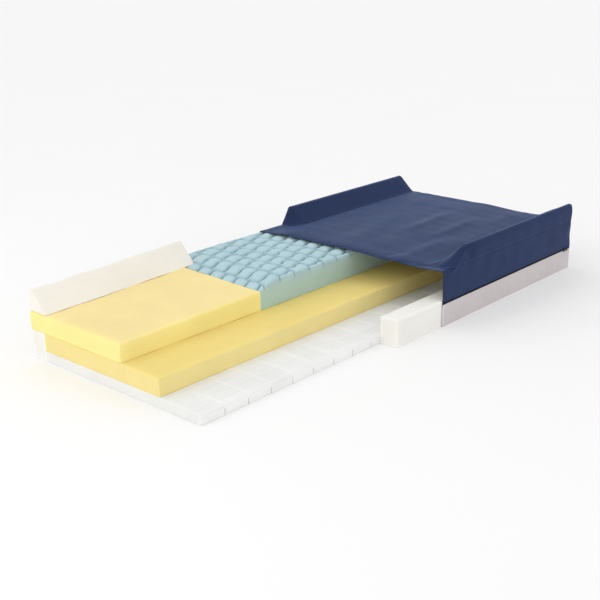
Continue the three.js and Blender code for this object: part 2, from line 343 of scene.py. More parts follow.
class Nodes:
    """Short names for adding and joining nodes in one tree."""

    def __init__(self, tree):
        self.tree = tree

    def add(self, kind, inputs=None, **settings):
        node = self.tree.nodes.new(kind)
        for key, value in settings.items():
            setattr(node, key, value)
        for key, value in (inputs or {}).items():
            self.feed(value, node.inputs[key])
        return node

    def feed(self, value, socket):
        if isinstance(value, bpy.types.NodeSocket):
            self.tree.links.new(value, socket)
        else:
            socket.default_value = value

    def math(self, operation, *values):
        return self.add("ShaderNodeMath", dict(enumerate(values)), operation=operation).outputs[0]

    def mix(self, factor, a, b):
        node = self.add("ShaderNodeMix", data_type="RGBA")
        for label, value in (("Factor", factor), ("A", a), ("B", b)):
            self.feed(value, node.inputs[label])
        return node.outputs["Result"]

    def range(self, value, low_in, high_in, low_out, high_out):
        node = self.add("ShaderNodeMapRange", {
            "Value": value, "From Min": low_in, "From Max": high_in,
            "To Min": low_out, "To Max": high_out,
        }, clamp=True)
        return node.outputs[0]

    def attribute(self, name):
        return self.add("ShaderNodeAttribute", attribute_name=name).outputs["Fac"]

    def group(self, group, **inputs):
        node = self.add("ShaderNodeGroup", node_tree=group)
        for key, value in inputs.items():
            self.feed(value, node.inputs[key.replace("_", " ")])
        return node


def new_group(name, inputs, outputs):
    """A node group with named sockets: returns it with its inside Nodes, in and out."""
    group = bpy.data.node_groups.new(name, "ShaderNodeTree")
    for label, (kind, value) in inputs.items():
        socket = group.interface.new_socket(label, in_out="INPUT", socket_type=kind)
        socket.default_value = value
    for label, kind in outputs.items():
        group.interface.new_socket(label, in_out="OUTPUT", socket_type=kind)
    nodes = Nodes(group)
    inside = nodes.add("NodeGroupInput").outputs
    result = nodes.add("NodeGroupOutput").inputs
    return group, nodes, inside, result


COLOR = "NodeSocketColor"
FLOAT = "NodeSocketFloat"
VECTOR = "NodeSocketVector"


def hex_color(text):
    """The linear colour of a #rrggbb screen colour."""
    values = [int(text[i : i + 2], 16) / 255 for i in (1, 3, 5)]
    linear = [v / 12.92 if v <= 0.04045 else ((v + 0.055) / 1.055) ** 2.4 for v in values]
    return (*linear, 1.0)


def build_handling():
    """Broad uneven tone from handling and ageing: a colour and a roughness offset."""
    group, nodes, given, result = new_group("handling", {
        "Color": (COLOR, (0.8, 0.8, 0.8, 1)), "Amount": (FLOAT, 0.06), "Scale": (FLOAT, 6.0),
    }, {"Color": COLOR, "Tone": FLOAT})
    at = nodes.add("ShaderNodeTexCoord").outputs["Object"]
    cloud = nodes.add("ShaderNodeTexNoise", {
        "Vector": at, "Scale": given["Scale"], "Detail": 5.0, "Roughness": 0.55,
    }).outputs["Fac"]
    tone = nodes.range(cloud, 0.3, 0.7, -1.0, 1.0)
    gain = nodes.math("MULTIPLY_ADD", tone, given["Amount"], 1.0)
    tinted = nodes.add("ShaderNodeVectorMath", operation="SCALE")
    nodes.feed(given["Color"], tinted.inputs[0])
    nodes.feed(gain, tinted.inputs["Scale"])
    nodes.feed(tinted.outputs[0], result["Color"])
    nodes.feed(tone, result["Tone"])
    return group


def build_cells():
    """Open foam: fine pores and saw marks, as a colour and a normal."""
    group, nodes, given, result = new_group("foam cells", {
        "Color": (COLOR, (0.8, 0.8, 0.8, 1)), "Pore Color": (COLOR, (0.5, 0.5, 0.5, 1)),
        "Pore Scale": (FLOAT, 420.0), "Depth": (FLOAT, 0.4), "Saw Lines": (FLOAT, 0.2),
    }, {"Color": COLOR, "Normal": VECTOR})
    at = nodes.add("ShaderNodeTexCoord").outputs["Object"]
    pore = nodes.add("ShaderNodeTexVoronoi", {
        "Vector": at, "Scale": given["Pore Scale"], "Randomness": 1.0,
    }, feature="F1").outputs["Distance"]
    grain = nodes.add("ShaderNodeTexNoise", {
        "Vector": at, "Scale": 160.0, "Detail": 6.0, "Roughness": 0.7,
    }).outputs["Fac"]
    drawn = nodes.add("ShaderNodeMapping", {"Vector": at, "Scale": (5.0, 260.0, 260.0)})
    saw = nodes.add("ShaderNodeTexNoise", {
        "Vector": drawn.outputs[0], "Scale": 1.0, "Detail": 3.0, "Roughness": 0.6,
    }).outputs["Fac"]
    hole = nodes.range(pore, 0.05, 0.45, 1.0, 0.0)
    speck = nodes.math("MULTIPLY", hole, nodes.range(grain, 0.45, 0.65, 0.0, 0.45))
    line = nodes.math("MULTIPLY", nodes.range(saw, 0.52, 0.75, 0.0, 1.0), given["Saw Lines"])
    shade = nodes.math("MAXIMUM", speck, line)
    nodes.feed(nodes.mix(shade, given["Color"], given["Pore Color"]), result["Color"])
    rough = nodes.math("MULTIPLY_ADD", grain, 0.8, nodes.math("MULTIPLY", saw, given["Saw Lines"]))
    height = nodes.math("SUBTRACT", rough, nodes.math("MULTIPLY", hole, 0.6))
    bump = nodes.add("ShaderNodeBump", {
        "Strength": given["Depth"], "Distance": 0.0008, "Height": height,
    })
    nodes.feed(bump.outputs[0], result["Normal"])
    return group


def build_weave():
    """A plain weave over the cloth's own UV map: a height, and a mask of the gaps."""
    group, nodes, given, result = new_group("weave", {
        "Threads": (FLOAT, 900.0),
    }, {"Height": FLOAT, "Gap": FLOAT})
    uv = nodes.add("ShaderNodeUVMap", uv_map="cloth").outputs[0]
    split = nodes.add("ShaderNodeSeparateXYZ", {0: uv}).outputs
    turn = nodes.math("MULTIPLY", given["Threads"], math.pi)
    warp, weft = (nodes.math("SINE", nodes.math("MULTIPLY", split[k], turn)) for k in (0, 1))
    height = nodes.math("ABSOLUTE", nodes.math("MULTIPLY", warp, weft))
    nodes.feed(height, result["Height"])
    nodes.feed(nodes.range(height, 0.0, 0.25, 1.0, 0.0), result["Gap"])
    return group


def build_stitches():
    """A row of stitches beside a seam: a mask from the seam distance and the cloth's UV."""
    group, nodes, given, result = new_group("stitches", {
        "Seam": (FLOAT, 1.0), "Pitch": (FLOAT, 0.0036), "Offset": (FLOAT, 0.0035),
    }, {"Mask": FLOAT})
    uv = nodes.add("ShaderNodeUVMap", uv_map="cloth").outputs[0]
    along = nodes.add("ShaderNodeSeparateXYZ", {0: uv}).outputs[0]
    beat = nodes.math("FRACT", nodes.math("DIVIDE", along, given["Pitch"]))
    off_beat = nodes.math("ABSOLUTE", nodes.math("SUBTRACT", beat, 0.5))
    thread = nodes.range(off_beat, 0.30, 0.38, 1.0, 0.0)
    beside = nodes.math("ABSOLUTE", nodes.math("SUBTRACT", given["Seam"], given["Offset"]))
    row = nodes.range(beside, 0.0002, 0.0006, 1.0, 0.0)
    nodes.feed(nodes.math("MULTIPLY", thread, row), result["Mask"])
    return group


HANDLING = build_handling()
STITCHES = build_stitches()
CELLS = build_cells()
WEAVE = build_weave()


def start_material(name, **constants):
    material = bpy.data.materials.new(name)
    material.use_nodes = True
    tree = material.node_tree
    shader = next(node for node in tree.nodes if node.type == "BSDF_PRINCIPLED")
    for key, value in constants.items():
        shader.inputs[key.replace("_", " ")].default_value = value
    return material, Nodes(tree), shader


def foam_material(name, top, side, edge, pores, pore_scale=420.0, depth=0.4, saw=0.12):
    """Cut foam: a top tone and a wall tone, which are painted light and shade for how light falls on the top
    and the walls, a brighter edge tone that is a painted highlight along edges, pores and a handled look.
    """
    material, nodes, shader = start_material(name, Roughness=0.92, Specular_IOR_Level=0.12)
    # Painted light and shade: the walls take their own tone, apart from the top's.
    body = nodes.mix(nodes.attribute("side"), hex_color(top), hex_color(side))
    # Painted highlight: edges are mixed towards the brighter edge tone.
    lit = nodes.mix(nodes.math("MULTIPLY", nodes.attribute("edge"), 0.75), body, hex_color(edge))
    handled = nodes.group(HANDLING, Color=lit, Amount=0.035, Scale=7.0)
    cells = nodes.group(
        CELLS, Color=handled.outputs["Color"], Pore_Color=hex_color(pores),
        Pore_Scale=pore_scale, Depth=depth, Saw_Lines=saw,
    )
    nodes.feed(cells.outputs["Color"], shader.inputs["Base Color"])
    nodes.feed(cells.outputs["Normal"], shader.inputs["Normal"])
    return material


LINING_COLOR = "#b8b2a6"
TRIM_COLOR = "#0b0d14"


def cloth_material(
    name, color, gap_color, stitch_color, threads, roughness, weave_depth, seam_depth, **constants
):
    """Coated cloth: fine weave, a handled look and a stitched seam groove, darkened with painted shade.

    The attribute seam is the distance past the seam line, lining is 1 on the
    cloth's inside, and trim is above 0 where the zip's dark binding covers it.
    """
    material, nodes, shader = start_material(name, **constants)
    handled = nodes.group(HANDLING, Color=hex_color(color), Amount=0.05, Scale=4.5)
    weave = nodes.group(WEAVE, Threads=threads)
    gap = nodes.math("MULTIPLY", weave.outputs["Gap"], 0.5)
    thread = nodes.mix(gap, handled.outputs["Color"], hex_color(gap_color))
    seam = nodes.attribute("seam")
    groove = nodes.range(nodes.math("ABSOLUTE", seam), 0.0003, 0.0022, 1.0, 0.0)
    stitch = nodes.group(STITCHES, Seam=seam).outputs["Mask"]
    # Painted shade: the seam groove is darkened towards the gap colour.
    shade = nodes.mix(nodes.math("MULTIPLY", groove, 0.6), thread, hex_color(gap_color))
    stitched = nodes.mix(nodes.math("MULTIPLY", stitch, 0.5), shade, hex_color(stitch_color))
    lined = nodes.mix(nodes.attribute("lining"), stitched, hex_color(LINING_COLOR))
    trim = nodes.range(nodes.attribute("trim"), 0.0, 0.0006, 0.0, 1.0)
    nodes.feed(nodes.mix(trim, lined, hex_color(TRIM_COLOR)), shader.inputs["Base Color"])
    rough = nodes.math("MULTIPLY_ADD", handled.outputs["Tone"], 0.06, roughness)
    nodes.feed(rough, shader.inputs["Roughness"])
    fine = nodes.add("ShaderNodeBump", {
        "Strength": weave_depth, "Distance": 0.0003, "Height": weave.outputs["Height"],
    })
    proud = nodes.math("SUBTRACT", nodes.math("MULTIPLY", stitch, 0.5), groove)
    seam_bump = nodes.add("ShaderNodeBump", {
        "Strength": seam_depth, "Distance": 0.001, "Normal": fine.outputs[0], "Height": proud,
    })
    nodes.feed(seam_bump.outputs[0], shader.inputs["Normal"])
    return material


# Each foam gives a top tone, a wall tone, an edge tone and a pore tone. The wall tone is painted light and
# shade, and the edge tone is a painted highlight.
base_foam = foam_material("base foam", "#ebeceb", "#ebebe8", "#f6f6f5", "#c9cac8", saw=0.4)
mid_foam = foam_material("middle foam", "#edd786", "#f1df99", "#f5e191", "#c3a95a")
heel_foam = foam_material("heel foam", "#f3e0a2", "#f8ea9c", "#ffee9a", "#dcc172", 520.0, 0.25)
torso_foam = foam_material("torso foam", "#a4bfc8", "#b4cfcc", "#bad6dd", "#7f9ea0", 380.0, 0.5)
wall_foam = foam_material("wall foam", "#f2f1ec", "#f0eee8", "#fbfaf5", "#d3d0c7", 360.0, 0.45)
bolster_foam = foam_material("bolster foam", "#f1ede4", "#f1ede4", "#f8f4ea", "#d6cec0", 400.0, 0.35)
navy_cloth = cloth_material(
    "navy coated cloth", "#2b3759", "#1c2440", "#5a6a94", 1100.0, 0.44, 0.22, 0.6,
    Specular_IOR_Level=0.02, Sheen_Weight=0.30, Sheen_Roughness=0.38,
    Sheen_Tint=(0.40, 0.58, 1.0, 1),
)
grey_cloth = cloth_material(
    "grey woven cloth", "#d3cbcc", "#a59da0", "#ece8e8", 620.0, 0.68, 0.8, 0.4,
    Specular_IOR_Level=0.3, Sheen_Weight=0.05, Sheen_Roughness=0.5,
)
hem_cloth = cloth_material(
    "pale hem tape", "#e2dedd", "#aaa4a6", "#f4f2f1", 480.0, 0.75, 0.9, 0.3, Specular_IOR_Level=0.25,
)
zip_cloth = cloth_material(
    "zip tape", "#111319", "#08090c", "#1c1e24", 700.0, 0.85, 0.9, 0.3, Specular_IOR_Level=0.1,
)

# ------------------------------------------------------------------ shared moves


def declare(piece, material_slot, nodes, body=None):
    """The piece rides on body, or without one it bends over the backrest's fold."""
    if body is None:
        start = (FOLD_X - BEND_HALF, 0, 0)
        end = (FOLD_X + BEND_HALF, 0, 0)
        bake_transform(piece, "seat", "backrest", start=start, end=end)
    else:
        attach(piece, body)
    if nodes:
        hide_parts(*nodes)


def finish_foam(piece, material_slot, nodes, body=None):
    set_box_uv(piece)
    declare(piece, material_slot, nodes, body)


def finish_sheet(piece, material_slot, nodes, rests_on):
    set_box_uv(piece)
    declare(piece, material_slot, nodes)
    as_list(rests_on)


def both_halves(name):
    """The CAD nodes of a piece that the CAD splits at the fold."""
    return [f"{name}_seat", f"{name}_back"]


def flat_skin(z):
    return lambda x, y: np.full_like(x, z)


def edge_distance(x, y, low_x, high_x, low_y, high_y):
    """How far a point is in from the nearest of four sides."""
    return np.minimum(np.minimum(y - low_y, high_y - y), np.minimum(x - low_x, high_x - x))


# The lower skin steps up here, from the floor to the inside of the bottom cover.
SKIN_STEP_X = CUT_X - 0.0003
STEEP = 0.00002
SKIN_STEP_LINES = [SKIN_STEP_X - STEEP, SKIN_STEP_X + STEEP]


def low_skin(x, y):
    return np.where(x < SKIN_STEP_X, 0.0, COVERED_LOW_Z)


def stepped(step_y, full_y):
    """A layer's near edge, stepped back to step_y at the foot, and the cells that it fills."""

    def near_edge(x, y):
        return np.where(x < STEP_END_X, step_y, -full_y)

    return near_edge, lambda x, y: y > near_edge(x, y)


# ------------------------------------------------------------------ foam layers

# Slits across the underside of the base layer, as in the CAD.
SLIT_FIRST = 0.094
SLIT_PITCH = 0.097
SLIT_HALF = 0.00125
SLIT_STEEP = 0.00003
SLIT_TOP_Z = 0.020
slit_xs = np.arange(FOOT_X + SLIT_FIRST, CORE_HEAD_X - SLIT_HALF, SLIT_PITCH)


def build_base_foam():
    """White base: flat skins, slits from below, and faint saw lines above them, shallow dips painted with
    the brighter edge tone.
    """
    radius = 0.0025
    walls = np.multiply.outer([-1, 1], SLIT_HALF + np.array([-SLIT_STEEP, SLIT_STEEP]))
    slit_lines = np.add.outer(slit_xs, [0.0, *walls.ravel()]).ravel()
    xs = lines(FOOT_X, CORE_HEAD_X, 0.02, radius, [*slit_lines, *SKIN_STEP_LINES])
    ys = lines(-LAYER_Y, LAYER_Y, 0.03, radius)
    uneven = wave_noise(11, 12, 0.11)

    def slit_distance(x):
        return np.abs(x[..., None] - slit_xs).min(-1)

    def top(x, y):
        inside = edge_distance(x, y, FOOT_X, CORE_HEAD_X, -LAYER_Y, LAYER_Y)
        mark = 0.0006 * np.exp(-(slit_distance(x) / 0.001) ** 2)
        return BASE_TOP_Z - round_drop(inside, radius) - mark - 0.0003 * (1 + uneven(x, y))

    def bottom(x, y):
        return np.where(slit_distance(x) < SLIT_HALF, SLIT_TOP_Z, low_skin(x, y))

    piece = slab("base_foam", xs, ys, top, bottom, base_foam)
    mark_edges(piece, 0.004, FOOT_X, CORE_HEAD_X, -LAYER_Y, LAYER_Y, low_skin, BASE_TOP_Z)
    x, y, z = points_of(piece).T
    # The brighter edge tone is painted over each slit line, and along the long edges as a painted highlight.
    over_slit = np.exp(-(slit_distance(x) / 0.0016) ** 2) * (z > BASE_TOP_Z - 0.003)
    edge = np.exp(-np.abs(LAYER_Y - np.abs(y)) / 0.003)
    set_attribute(piece, "edge", np.maximum(over_slit, edge))
    finish_foam(piece, "base_foam", both_halves("base_foam"))


def build_mid_foam():
    """Yellow middle layer: a flat slab with soft edges, stepped back on the near side."""
    radius = 0.004
    xs = lines(FOOT_X, CORE_HEAD_X, 0.02, radius, [STEP_END_X])
    ys = lines(-LAYER_Y, LAYER_Y, 0.025, radius, MID_STEP_Y + ROUND_STEPS * radius)
    near_edge, filled = stepped(MID_STEP_Y, LAYER_Y)
    uneven = wave_noise(23, 14, 0.14)

    def top(x, y):
        inside = edge_distance(x, y, FOOT_X, CORE_HEAD_X, near_edge(x, y), LAYER_Y)
        return MID_TOP_Z - round_drop(inside, radius) - 0.0005 * (1 + uneven(x, y))

    piece = slab("mid_foam", xs, ys, top, flat_skin(MID_LOW_Z), mid_foam, filled)
    mark_edges(piece, 0.006, FOOT_X, CORE_HEAD_X, near_edge, LAYER_Y, MID_LOW_Z, MID_TOP_Z)
    finish_foam(piece, "mid_foam", both_halves("mid_foam"))


# The heel layer rises along its length, and more towards the far side.
HEEL_FOOT_Z = 0.160
HEEL_RISE_NEAR = 0.0055
HEEL_RISE_FAR = 0.0200


def heel_top(x, y):
    along = np.clip((x - FOOT_X) / (HEEL_END_X - FOOT_X), 0, 1)
    across = np.clip((y - TOP_STEP_Y) / (CORE_Y - TOP_STEP_Y), 0, 1)
    rise = HEEL_RISE_NEAR + (HEEL_RISE_FAR - HEEL_RISE_NEAR) * across**1.2
    return HEEL_FOOT_Z + rise * along**1.3


def build_heel_foam():
    """Pale yellow heel layer: a wedge with soft edges, tighter against the torso layer."""
    radius = 0.007
    tightness = 2.5
    xs = lines(FOOT_X, HEEL_END_X, 0.018, radius)
    ys = lines(TOP_STEP_Y, CORE_Y, 0.018, radius)
    uneven = wave_noise(31, 14, 0.16)

    def top(x, y):
        open_sides = edge_distance(x, y, FOOT_X, np.inf, TOP_STEP_Y, CORE_Y)
        inside = np.minimum(open_sides, (HEEL_END_X - x) * tightness)
        return heel_top(x, y) - round_drop(inside, radius) + 0.0008 * uneven(x, y)

    piece = slab("heel_foam_block", xs, ys, top, flat_skin(TOP_LOW_Z), heel_foam)
    mark_edges(piece, 0.009, FOOT_X, HEEL_END_X, TOP_STEP_Y, CORE_Y, TOP_LOW_Z, heel_top)
    finish_foam(piece, "heel_foam", ["heel_foam"], "seat")


# Castellations of the torso layer: bands across it, each cut along X into pads.
# The lengthwise cuts of one band lie halfway between those of the next.
PAD = 0.0775
PAD_FIRST_X = FOOT_X + 0.6425
PAD_Y = 0.0595
PAD_FIRST_Y = 0.030
NEAR_CUT_SHIFT = 0.018
CUT_ROUND = 0.018
CUT_DROP = 0.0034
SEAM_ROUND = 0.024
SEAM_DROP = 0.0090
SLOT_HALF = 0.0012
SLOT_DROP = 0.013
CUT_SLOT_DROP = 0.0036
SEAM_WAVE = 0.0060
HEAD_ROUND = 0.014
FALL_OFF = 2.4
RAMP_LENGTH = 0.110
HIDDEN_X = CUT_X + 0.11
torso_near_edge, torso_filled = stepped(TOP_STEP_Y, CORE_Y)


def pad_distances(x, y):
    """Distances to the nearest seam along X and cut across it, and the pad's number."""
    band = np.floor((x - PAD_FIRST_X) / PAD)
    along = (x - PAD_FIRST_X) - band * PAD
    cut = np.minimum(along, PAD - along)
    shift = np.where(np.mod(band, 2) == 0, 0.0, PAD_Y / 2)
    row = np.floor((y - PAD_FIRST_Y - shift) / PAD_Y)
    across = (y - PAD_FIRST_Y - shift) - row * PAD_Y
    seam = np.minimum(across, PAD_Y - across)
    return seam, cut, band * 31 + row * 57


def torso_top(x, y):
    """Pads with rounded shoulders and thin slots between them, on a ramp.

    A shoulder falls as (1 - distance / round) ** FALL_OFF towards its cut. Cuts
    across are open at the near edge and almost closed further in. The pads fade
    out under the covers, and are pressed flat under the foot bolster.
    """
    ramp = np.sqrt(smooth((x - TORSO_START_X) / RAMP_LENGTH))
    base = heel_top(np.full_like(x, HEEL_END_X), y) + 0.001
    level = base + (CROWN_Z - base) * ramp
    seam, cut, pad = pad_distances(x, y)
    open_cut = 0.5 + 1.6 * np.exp(-np.clip(y - torso_near_edge(x, y), 0, None) / 0.022)
    shoulder = SEAM_DROP * (1 - np.clip(seam / SEAM_ROUND, 0, 1)) ** FALL_OFF
    shoulder = shoulder + open_cut * CUT_DROP * (1 - np.clip(cut / CUT_ROUND, 0, 1)) ** FALL_OFF
    slot = SLOT_DROP * (1 - smooth((seam - SLOT_HALF) / 0.0020))
    cut_slot = open_cut * CUT_SLOT_DROP * (1 - smooth((cut - 0.6 * SLOT_HALF) / 0.0016))
    slot = np.maximum(slot, cut_slot)
    crown = 0.0018 * np.sin(pad * 12.9898)
    show = 1 - smooth((x - HIDDEN_X) / 0.03)
    height = level - show * (shoulder + slot - crown) - 0.0006
    pressed = (x < high("foot_bolster").x + 0.001) & (y > low("foot_bolster").y - 0.001)
    return np.where(pressed, np.minimum(height, heel_top(x, y) + 0.0003), height)


def build_torso_foam():
    """Aqua torso layer: castellated on top, plain on its sides."""
    beside = np.array([0.001, 0.0026, 0.005, 0.009, 0.0145])
    steps = np.concatenate([-beside, beside])
    wide = np.array([-0.036, -0.025, 0.025, 0.036])
    cuts = np.arange(PAD_FIRST_X - PAD, HIDDEN_X + 0.05, PAD)
    seams = PAD_FIRST_Y + PAD_Y / 2 * np.arange(-17, 15)
    near_cuts = (cuts[:, None] + np.concatenate([steps, wide])).ravel()
    near_seams = (seams[:, None] + steps).ravel()
    near_seams = near_seams[near_seams > TOP_STEP_Y - 0.03]
    under_bolster = [high("foot_bolster").x + offset for offset in (0.0, 0.003)]
    at = [*near_cuts, STEP_END_X, *under_bolster]
    xs = lines(TORSO_START_X, CORE_HEAD_X, 0.04, HEAD_ROUND, at)
    edge = TOP_STEP_Y + np.array([0, 0.0005, 0.002, 0.004, 0.007, 0.010])
    ys = lines(-CORE_Y, CORE_Y, 0.04, 0.008, [*near_seams, *edge])
    uneven = wave_noise(47, 16, 0.05)

    def top(x, y):
        side = np.minimum(y - torso_near_edge(x, y), CORE_Y - y)
        rounded = 0.8 * round_drop(side, 0.010) + round_drop(CORE_HEAD_X - x, HEAD_ROUND)
        slack = 0.0015 * smooth((x - HIDDEN_X - 0.05) / 0.05)
        return torso_top(x, y) - rounded - slack + 0.0007 * uneven(x, y)

    bottom = flat_skin(TOP_LOW_Z)
    piece = slab("torso_foam", xs, ys, top, bottom, torso_foam, torso_filled, sharp=60)
    points = points_of(piece)
    x, y, z = points.T
    seam, cut, _ = pad_distances(x, y)
    # Painted shade and highlight: pad tops take the brighter edge tone, which fades out towards the seams
    # and cuts, so the slots between the pads read darker.
    on_pads = (z > CROWN_Z - 0.03) & (x < HIDDEN_X)
    centre = smooth(np.minimum(seam, cut) / 0.016)
    set_attribute(piece, "edge", np.where(on_pads, centre, 0.0))
    # Painted light and shade: down the walls the colour shifts from the top tone to the wall tone.
    on_wall = (y - torso_near_edge(x, y) < 0.0005) | (CORE_Y - y < 0.0005)
    below = smooth((CROWN_Z - 0.008 - z) / 0.030)
    set_attribute(piece, "side", np.where(on_wall, below, 0.0))
    inside = smooth((x - TORSO_START_X) / 0.05) * smooth((HIDDEN_X + 0.05 - x) / 0.05)
    apart = smooth((y - TOP_STEP_Y) / 0.02) * smooth((CORE_Y - y) / 0.03)
    near = NEAR_CUT_SHIFT * np.exp(-np.clip(y - TOP_STEP_Y, 0, None) / 0.045)
    points[:, 0] += inside * (0.0030 * wave_noise(61, 10, 0.12)(x, y) - near)
    swing = SEAM_WAVE * np.sin(2 * np.pi * (x - PAD_FIRST_X) / PAD)
    points[:, 1] += inside * apart * (0.0022 * wave_noise(62, 10, 0.10)(x, y) - swing)
    move_points(piece, points)
    round_head_corner(piece)
    finish_foam(piece, "torso_foam", both_halves("torso_foam"))


def build_wall(name, start_x, side):
    """A firm side wall: a long bar with slightly rounded edges."""
    radius = 0.006
    low_y, high_y = sorted([side * WALL_IN_Y, side * CORE_Y])
    xs = lines(start_x, CORE_HEAD_X, 0.02, radius, SKIN_STEP_LINES)
    ys = lines(low_y, high_y, 0.015, radius)
    uneven = wave_noise(53 + side, 10, 0.09)

    def top(x, y):
        inside = edge_distance(x, y, start_x, CORE_HEAD_X, low_y, high_y)
        return MID_TOP_Z - round_drop(inside, radius) - 0.0003 * (1 + uneven(x, y))

    piece = slab(name, xs, ys, top, low_skin, wall_foam)
    mark_edges(piece, 0.005, start_x, CORE_HEAD_X, low_y, high_y, low_skin, MID_TOP_Z)
    round_head_corner(piece)
    finish_foam(piece, "wall_foam", both_halves(name))


# The radius of the covers' upright corners at the head end, and of the foam inside them.
COVER_CORNER = 0.012
CORE_CORNER = COVER_CORNER - (COVER_Y - CORE_Y)


def round_head_corner(piece, head_x=CORE_HEAD_X, half_y=CORE_Y, radius=CORE_CORNER):
    """Moves a square corner's points onto a round one, along rays from its centre."""
    points = points_of(piece)
    ahead = points[:, 0] - (head_x - radius)
    aside = np.abs(points[:, 1]) - (half_y - radius)
    moved = (ahead > 0) & (aside > 0)
    share = np.maximum(ahead, aside)[moved] / np.hypot(ahead, aside)[moved]
    points[moved, 0] = head_x - radius + ahead[moved] * share
    points[moved, 1] = np.sign(points[moved, 1]) * (half_y - radius + aside[moved] * share)
    move_points(piece, points)


# ------------------------------------------------------------------ bolsters

BOLSTER_W = 0.088
BOLSTER_SOFT = 0.004
BOLSTER_END_SOFT = 0.005
RIDGE_R = 0.012
FOOT_BOLSTER_H = 0.073
POCKET_SLACK = 0.022
HEAD_BOLSTER_H = high("head_bolster_far").z - low("head_bolster_far").z


def bolster_outline(height):
    """A right triangle with a round ridge, as (across, up) from its outer foot.

    across runs inwards from the outer face. The slope is the tangent from the
    inner foot to the ridge circle.
    """
    run = BOLSTER_W - RIDGE_R
    rise = height - RIDGE_R
    slope = math.atan2(rise, run) + math.asin(RIDGE_R / math.hypot(run, rise))
    turn = np.linspace(0, math.pi / 2 + slope, 14)
    arc = np.stack([RIDGE_R - RIDGE_R * np.cos(turn), rise + RIDGE_R * np.sin(turn)], 1)
    side = np.stack([np.zeros(8), np.linspace(BOLSTER_SOFT, rise, 9)[:-1]], 1)
    foot = np.array([BOLSTER_W - BOLSTER_SOFT, 0.0006])
    down = arc[-1] + np.linspace(0, 1, 13)[1:-1, None] * (foot - arc[-1])
    base = np.stack([np.linspace(BOLSTER_W - 2 * BOLSTER_SOFT, BOLSTER_SOFT, 9), np.zeros(9)], 1)
    return np.concatenate([side, arc, down, foot[None], base])


def bolster_run(name, height, start_x, end_x, side, base_z, lean=0.0, slim=0.0):
    """A bolster along X with softly rounded end faces, standing on base_z(x, y).

    slim is taken off its outline, for a bolster that fills a pocket. lean tips its
    foot end towards the head, by up to that much at the ridge.
    """
    outline = bolster_outline(height)
    middle = outline.mean(0)
    soft = BOLSTER_END_SOFT
    turn = np.linspace(0, math.pi / 2, 5)
    step = soft * (1 - np.cos(turn))
    count = max(3, int((end_x - start_x) / 0.02))
    inner = np.linspace(start_x + soft, end_x - soft, count)[1:-1]
    xs = np.concatenate([start_x + step, inner, (end_x - step)[::-1]])
    inset = soft * (1 - np.sin(turn))
    shrink = slim + np.concatenate([inset, np.zeros(len(inner)), inset[::-1]])
    size = np.maximum(np.linalg.norm(outline - middle, axis=1), 0.01)
    share = 1 - shrink[:, None] / size
    across = middle[0] + (outline[:, 0] - middle[0]) * share
    up = middle[1] + (outline[:, 1] - middle[1]) * share
    y = side * (CORE_Y - across)
    tilt = smooth((end_x - xs[:, None]) / (end_x - start_x)) * lean
    x = xs[:, None] + tilt * up / height
    uneven = wave_noise(71 + int(height * 1000), 8, 0.2)
    z = up + base_z(x, y) + 0.0006 * uneven(x, up)
    return sweep(name, np.stack([x, y, z], -1), bolster_foam)


def build_foot_bolster():
    """The bare bolster: it follows the heel layer and ends past it, on the torso layer."""
    end_x = high("foot_bolster").x

    def base_z(x, y):
        return heel_top(x, y) + 0.0008

    piece = bolster_run("foot_bolster_wedge", FOOT_BOLSTER_H, FOOT_X, end_x, 1, base_z)
    finish_foam(piece, "bolster_foam", ["foot_bolster"], "seat")


def build_head_bolster(side, label):
    """A bolster inside the top cover's pocket."""
    node = f"head_bolster_{label}"
    start_x = low(node).x + POCKET_SLACK
    piece = bolster_run(
        f"{node}_wedge", HEAD_BOLSTER_H, start_x, high(node).x, side, flat_skin(low(node).z),
        lean=0.034, slim=0.0065,
    )
    round_head_corner(piece)
    finish_foam(piece, "bolster_foam", [node], "backrest")


# ------------------------------------------------------------------ covers

POCKET_W = 0.0915
WEB_W = 0.102
POCKET_RIDGE_R = 0.0145
FAR_POCKET_X = FOLD_X + 0.046
FAR_POCKET_LEAD = 0.038
WEB_X = CUT_X + 0.028
WEB_LENGTH = 0.127
WEB_LIP = 0.06


def web_rise(x):
    """How much of its height the near pocket has reached: a small lip at the cut edge, then an S."""
    t = np.clip((x - WEB_X) / WEB_LENGTH, 0, 1)
    return WEB_LIP + (1 - WEB_LIP) * (0.3 * t + 0.7 * smooth(t))


def pocket_height(x, y, side):
    """How far a bolster pocket stands above the flat panel.

    The section is the bolster's, grown by the skin: a ridge of radius
    POCKET_RIDGE_R at the outer face, and the tangent down to the pocket's foot,
    which meets the panel in a soft hollow. The far pocket has a plain end face.
    The near one rises out of the cut edge as a web of cloth.
    """
    if side > 0:
        rise = np.clip((x - FAR_POCKET_X) / FAR_POCKET_LEAD, 0, 1)
        width = np.full_like(x, POCKET_W)
    else:
        rise = web_rise(x)
        width = POCKET_W + (WEB_W - POCKET_W) * (1 - rise)
    across = COVER_Y - side * y
    flat = POCKET_Z - PANEL_Z - POCKET_RIDGE_R
    run = POCKET_W - POCKET_RIDGE_R
    angle = math.atan2(flat, run) + math.asin(POCKET_RIDGE_R / math.hypot(run, flat))
    inside = np.clip(across, 0, 2 * POCKET_RIDGE_R) - POCKET_RIDGE_R
    cap = flat + np.sqrt(np.clip(POCKET_RIDGE_R**2 - inside**2, 0, None))
    slope = math.tan(angle) * (1 - across / width) * POCKET_W
    beyond = across > POCKET_RIDGE_R * (1 + math.sin(angle))
    section = np.where(beyond, slope, cap) * rise
    hollow = 0.004
    return (section + np.sqrt(section**2 + hollow**2 * rise)) / 2 * (rise > 0)


def panel_height(x, y):
    """The flat panel: full over the layers, lower on the near side and at the pockets."""
    full = smooth((y + 0.22) / 0.19) * smooth((0.385 - y) / 0.075)
    return PANEL_Z + 0.0060 * full + 0.0006


